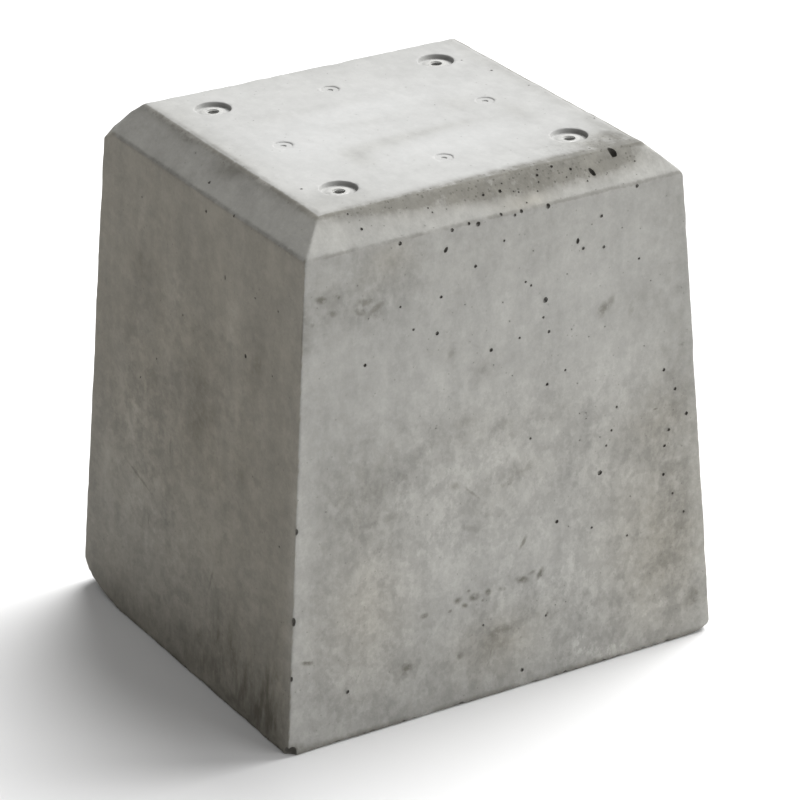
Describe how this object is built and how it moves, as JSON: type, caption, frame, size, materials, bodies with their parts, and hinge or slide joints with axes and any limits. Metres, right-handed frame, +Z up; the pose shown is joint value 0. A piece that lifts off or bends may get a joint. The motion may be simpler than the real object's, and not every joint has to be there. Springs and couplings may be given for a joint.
{
  "type": "concrete deck pier block",
  "caption": "Tapered cast concrete block with a chamfered crown; threaded sockets sit in round recesses in its flat top to take a deck post or beam bracket.",
  "frame": {"origin": "middle of the foot, on the ground", "axes": "+Z up; X along the longer side of the foot, Y along the shorter side; the worn front face looks to -Y"},
  "size_m": [0.4, 0.35, 0.43],
  "materials": {
    "concrete": "as cast, matt, with air voids and stains",
    "socket_zinc": "dull zinc plate with cement film"
  },
  "bodies": {
    "root": {"pier_block": "concrete", "socket_front_left": "socket_zinc", "socket_front_right": "socket_zinc", "socket_back_left": "socket_zinc", "socket_back_right": "socket_zinc"}
  },
  "joints": []
}
